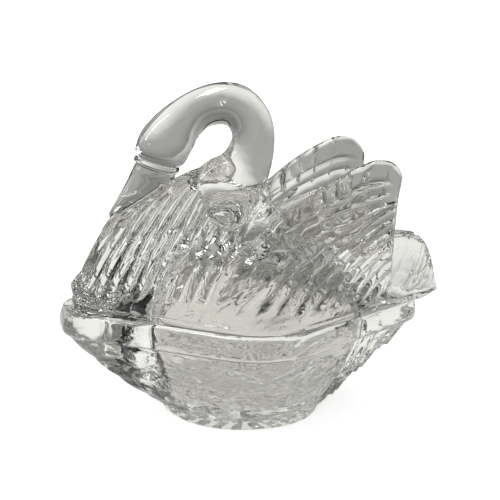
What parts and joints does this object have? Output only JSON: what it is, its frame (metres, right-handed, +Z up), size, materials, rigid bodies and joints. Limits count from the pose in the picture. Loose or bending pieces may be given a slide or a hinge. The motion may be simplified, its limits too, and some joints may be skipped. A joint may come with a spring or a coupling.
{
  "type": "swan covered dish",
  "caption": "Clear pressed-glass covered dish: a boat-shaped footed bowl under a lid in the form of a swan with raised ribbed wings and a curved neck.",
  "frame": {"origin": "centre of the foot's resting face", "axes": "+X towards the swan's tail, so the head faces -X; +Z up; the swan's plane of symmetry is Y = 0"},
  "size_m": [0.1727, 0.0892, 0.1422],
  "materials": {
    "dish_glass": "clear colourless pressed glass, fire-polished",
    "cover_glass": "clear colourless pressed glass, fire-polished"
  },
  "bodies": {
    "root": {"dish": "dish_glass", "swan_cover": "cover_glass"}
  },
  "joints": []
}
